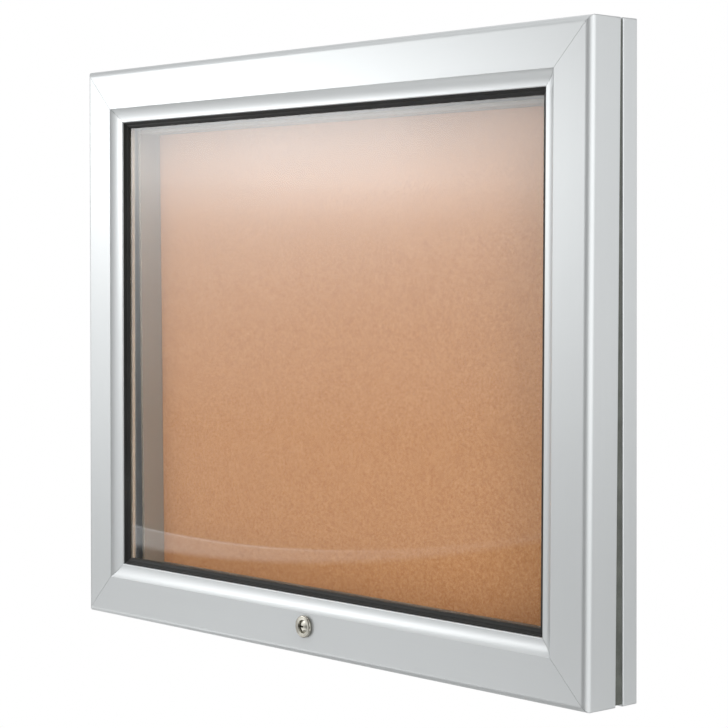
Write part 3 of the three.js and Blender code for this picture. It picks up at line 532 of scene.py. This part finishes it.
BOARD_MIDDLE = Vector((0, -39.7, 0)) * MM
CAMERA_YAW = math.radians(48.074)
CAMERA_PITCH = math.radians(2.921)
CAMERA_ROLL = math.radians(-0.333)
CAMERA_OFFSET = Vector((-41.423, 12.289, 2291.452)) * MM
CLIP_START, CLIP_END = 0.05, 100
FOCAL_PIXELS = 2129.95
PHOTO_PIXELS = 728
SENSOR = 36.0


def add_camera():
    """Turns by yaw, pitch and roll, then stands off the board's middle by the offset."""
    right = Vector((math.cos(CAMERA_YAW), math.sin(CAMERA_YAW), 0))
    ahead = Vector((-math.sin(CAMERA_YAW), math.cos(CAMERA_YAW), 0))
    up = Vector((0, 0, 1))
    forward = ahead * math.cos(CAMERA_PITCH) - up * math.sin(CAMERA_PITCH)
    lifted = up * math.cos(CAMERA_PITCH) + ahead * math.sin(CAMERA_PITCH)
    x = right * math.cos(CAMERA_ROLL) + lifted * math.sin(CAMERA_ROLL)
    y = lifted * math.cos(CAMERA_ROLL) - right * math.sin(CAMERA_ROLL)
    data = bpy.data.cameras.new("camera")
    data.sensor_width = SENSOR
    data.lens = FOCAL_PIXELS * SENSOR / PHOTO_PIXELS
    data.clip_start = CLIP_START
    data.clip_end = CLIP_END
    camera = bpy.data.objects.new("camera", data)
    matrix = Matrix((x, y, -forward)).transposed().to_4x4()
    offset = CAMERA_OFFSET
    matrix.translation = BOARD_MIDDLE - x * offset.x - y * offset.y - forward * offset.z
    camera.matrix_world = matrix
    bpy.context.scene.collection.objects.link(camera)
    bpy.context.scene.camera = camera


add_camera()


# Light

WORLD_STRENGTH = 0.38

# Lamps, aimed at the board's middle: place and size in metres, power in watts
LAMPS = {
    "key": {"place": (-0.5, -0.85, 2.4), "size": (1.6, 0.8), "power": 31},
    "fill": {"place": (3.0, -0.9, 1.7), "size": (1.4, 1.4), "power": 80},
    "back": {"place": (1.5, 3.0, 1.8), "size": (2.0, 2.0), "power": 25},
}

SCREEN_RADIUS = 1.2
SCREEN_LOW, SCREEN_HIGH = -1.0, 3.0
ROUND_SEGMENTS = 96

# The screen's brightness by degrees from straight in front, with the left side positive
SCREEN_AROUND = (
    (-180, 0.6), (-137, 0.49), (-120, 0.62), (-100, 1.2), (-85, 1.45), (-70, 1.3), (-55, 0.75),
    (-40, 0.25), (-25, 0.12), (-12, 0.18), (0, 0.36), (10, 0.66), (19, 0.82), (28, 0.91),
    (36, 0.98), (45, 1.06), (56, 1.17), (65, 1.17), (72, 0.88), (80, 0.66), (90, 0.62),
    (102, 0.78), (116, 1.05), (140, 1.05), (160, 0.75), (180, 0.6),
)
# The same by height
SCREEN_UPWARD = (
    (-1.0, 1.7), (-0.8, 1.5), (-0.6, 1.1), (-0.4, 0.82), (-0.2, 1.14), (0.0, 1.42), (0.2, 1.5),
    (0.35, 1.5), (0.5, 1.2), (0.8, 0.85), (1.2, 0.95), (1.6, 1.0), (2.2, 0.9), (3.0, 0.9),
)
# A brighter strip on the screen, in the same two ways
STRIP_AROUND = (
    (25, 0.0), (31, 0.5), (38, 0.8), (45, 1.0), (56, 0.75), (64, 0.38), (72, 0.1), (76, 0.0),
)
STRIP_UPWARD = (
    (0.0, 0.0), (0.08, 0.12), (0.15, 0.32), (0.22, 0.8), (0.27, 1.05), (0.32, 1.0), (0.38, 0.7),
    (0.45, 0.2), (0.52, 0.0),
)
STRIP_STRENGTH = 3.6
CARD_STRENGTH = 0.58

FLOOR_RADIUS = 3.2
FLOOR_HEIGHT = -1.25
FLOOR_FADE_RADII = (1.6, 3.1)


def add_world():
    """White where it is seen, directly or in metal or glass; dimmer where it lights the object."""
    s = Shader(bpy.data.worlds.new("studio"), "ShaderNodeOutputWorld")
    bpy.context.scene.world = s.block
    dimmed = s.add("ShaderNodeBackground", {"Color": WHITE, "Strength": WORLD_STRENGTH})
    white = s.add("ShaderNodeBackground", {"Color": WHITE, "Strength": 1.0})
    s.show_mix(s.seen(), dimmed.outputs["Background"], white.outputs["Background"])


def add_lamp(name, place, size, power):
    """A soft lamp that isn't seen itself, nor in metal."""
    data = bpy.data.lights.new(name, "AREA")
    data.shape = "RECTANGLE"
    data.size, data.size_y = size
    data.energy = power
    lamp = bpy.data.objects.new(name, data)
    lamp.location = place
    lamp.rotation_euler = (-Vector(place)).to_track_quat("-Z", "Y").to_euler()
    lamp.visible_glossy = False
    lamp.visible_camera = False
    bpy.context.scene.collection.objects.link(lamp)


def stage_light(name, mesh):
    """A piece of the studio that is only seen in metal and glass."""
    piece = bpy.data.objects.new(name, mesh)
    bpy.context.scene.collection.objects.link(piece)
    piece.visible_camera = False
    piece.visible_diffuse = False
    piece.visible_transmission = False
    piece.visible_shadow = False


def disc(name, radius, height=0.0):
    mesh = bpy.data.meshes.new(name)
    bm = bmesh.new()
    bmesh.ops.create_circle(bm, cap_ends=True, segments=ROUND_SEGMENTS, radius=radius)
    bmesh.ops.translate(bm, vec=(0, 0, height), verts=bm.verts)
    bm.to_mesh(mesh)
    bm.free()
    return mesh


def add_screen():
    """A round screen about the object, which gives its metal and glazing their reflections."""
    mesh = bpy.data.meshes.new("screen")
    verts, faces = [], []
    for i in range(ROUND_SEGMENTS):
        turn = math.tau * i / ROUND_SEGMENTS
        x, y = math.cos(turn) * SCREEN_RADIUS, math.sin(turn) * SCREEN_RADIUS
        verts += [(x, y, SCREEN_LOW), (x, y, SCREEN_HIGH)]
        a, b = 2 * i, 2 * ((i + 1) % ROUND_SEGMENTS)
        faces.append((a, b, b + 1, a + 1))
    mesh.from_pydata(verts, [], faces)
    s = new_material("screen_light")
    axes = s.axes()
    leftward = s.maths("MULTIPLY", axes["X"], -1.0)
    forward = s.maths("MULTIPLY", axes["Y"], -1.0)
    turn = s.maths("MULTIPLY", s.maths("ARCTAN2", leftward, forward), math.degrees(1))
    height = axes["Z"]
    white = s.maths("MULTIPLY", s.curve(turn, SCREEN_AROUND), s.curve(height, SCREEN_UPWARD))
    strip = s.maths("MULTIPLY", s.curve(turn, STRIP_AROUND), s.curve(height, STRIP_UPWARD))
    strip = s.maths("MULTIPLY", strip, STRIP_STRENGTH)
    s.show(s.glow(s.maths("ADD", white, strip)))
    mesh.materials.append(s.block)
    stage_light("screen", mesh)


def add_dark_card():
    """A dimmer disc under the object, which gives its lower edges their shade."""
    mesh = disc("dark_card", SCREEN_RADIUS, SCREEN_LOW)
    s = new_material("card_light")
    s.show(s.glow(CARD_STRENGTH))
    mesh.materials.append(s.block)
    stage_light("dark_card", mesh)


def add_floor():
    """A pale round floor below the object that fades into the white around it."""
    mesh = disc("floor", FLOOR_RADIUS)
    floor = bpy.data.objects.new("floor", mesh)
    floor.location.z = FLOOR_HEIGHT
    bpy.context.scene.collection.objects.link(floor)
    s = new_material("floor_paint")
    paint = s.principled(Base_Color=linear(0xF2F2F0), Roughness=0.8, Specular_IOR_Level=0.2)
    radius = s.add("ShaderNodeVectorMath", {0: s.place()}, operation="LENGTH").outputs["Value"]
    fade = s.span(radius, FLOOR_FADE_RADII, interpolation="SMOOTHSTEP")
    s.show_mix(s.maths("MULTIPLY", fade, s.seen()), paint, s.glow(1.0))
    mesh.materials.append(s.block)


add_world()
for name, lamp in LAMPS.items():
    add_lamp(name, **lamp)
add_screen()
add_dark_card()
add_floor()

bpy.context.scene.view_settings.view_transform = "Standard"
